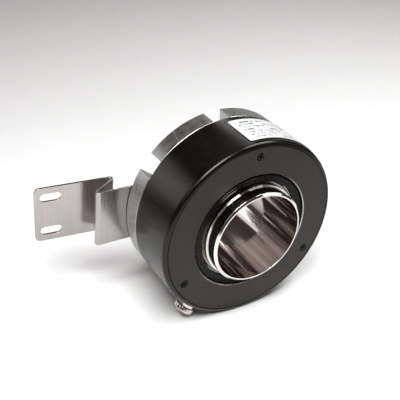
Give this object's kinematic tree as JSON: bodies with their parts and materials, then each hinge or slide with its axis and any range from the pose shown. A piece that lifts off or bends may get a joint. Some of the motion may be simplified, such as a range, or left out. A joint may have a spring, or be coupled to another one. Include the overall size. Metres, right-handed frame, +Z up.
{
  "type": "rotary encoder",
  "caption": "Hollow-shaft rotary encoder: round black housing, turned base flange, polished through bore, slotted spring torque bracket and cable gland.",
  "frame": {"origin": "centre of the hollow shaft's bore in the plane of the housing's front face", "axes": "-Y along the shaft axis, out of the front face; +Y towards the base flange and the rear; the torque bracket points along -X; +Z up, with the type label on top"},
  "size_m": [0.1427, 0.064, 0.1004],
  "materials": {
    "black_anodised": "satin black anodised aluminium",
    "turned_aluminium": "fine turned, satin",
    "polished_steel": "polished bore and nose",
    "bearing_steel": "ground",
    "spring_steel": "rolled stainless strip",
    "black_screw": "blackened steel",
    "zinc_screw": "zinc plated",
    "nickel": "nickel plated brass",
    "brass": "machined",
    "rubber": "moulded",
    "board": "solder mask",
    "chip": "moulded package",
    "moulding": "moulded",
    "disc_glass": "clear glass",
    "label": "printed film"
  },
  "bodies": {
    "housing": {"housing_shell": "black_anodised", "front_plate": "black_anodised", "front_seal_ring": "black_anodised", "rear_seal_ring": "black_anodised", "front_screw_1": "black_screw", "front_screw_2": "black_screw", "front_screw_3": "black_screw", "base_flange": "turned_aluminium", "flange_bolt_1": "zinc_screw", "flange_bolt_2": "zinc_screw", "flange_bolt_3": "zinc_screw", "board_screw_1": "zinc_screw", "board_screw_2": "zinc_screw", "board_screw_3": "zinc_screw", "bracket_screw_1": "zinc_screw", "bracket_screw_2": "zinc_screw", "bracket_washer_1": "zinc_screw", "bracket_washer_2": "zinc_screw", "filter_capacitor": "zinc_screw", "flange_o_ring": "rubber", "gland_seal": "rubber", "wave_spring": "bearing_steel", "front_bearing_outer_ring": "bearing_steel", "rear_bearing_outer_ring": "bearing_steel", "board_standoff_1": "brass", "board_standoff_2": "brass", "board_standoff_3": "brass", "led_lens": "disc_glass", "mask_plate": "disc_glass", "main_board": "board", "led_holder": "moulding", "cable_header": "moulding", "sensor_chip": "chip", "processor_chip": "chip", "line_driver_chip": "chip", "regulator_chip": "chip", "gland_body": "nickel", "gland_nut": "nickel", "gland_locknut": "nickel", "torque_bracket": "spring_steel", "type_label": "label"},
    "rotor": {"hollow_shaft": "polished_steel", "front_bearing_inner_ring": "bearing_steel", "rear_bearing_inner_ring": "bearing_steel", "disc_hub": "turned_aluminium", "code_disc": "disc_glass", "disc_clamp_ring": "brass", "retaining_ring": "bearing_steel", "clamp_ring": "turned_aluminium", "clamp_screw": "zinc_screw"},
    "front_balls": {"front_bearing_cage": "brass"},
    "rear_balls": {"rear_bearing_cage": "brass"}
  },
  "joints": [
    {"name": "shaft_spin", "type": "hinge", "parent": "housing", "child": "rotor", "pos_m": [0, 0, 0], "axis": [0, 1, 0], "continuous": true},
    {"name": "front_balls_roll", "type": "hinge", "parent": "housing", "child": "front_balls", "pos_m": [0, 0, 0], "axis": [0, 1, 0], "continuous": true},
    {"name": "rear_balls_roll", "type": "hinge", "parent": "housing", "child": "rear_balls", "pos_m": [0, 0, 0], "axis": [0, 1, 0], "continuous": true}
  ],
  "couplings": [
    {"joint": "front_balls_roll", "follows": "shaft_spin", "ratio": 0.465},
    {"joint": "rear_balls_roll", "follows": "shaft_spin", "ratio": 0.465}
  ]
}
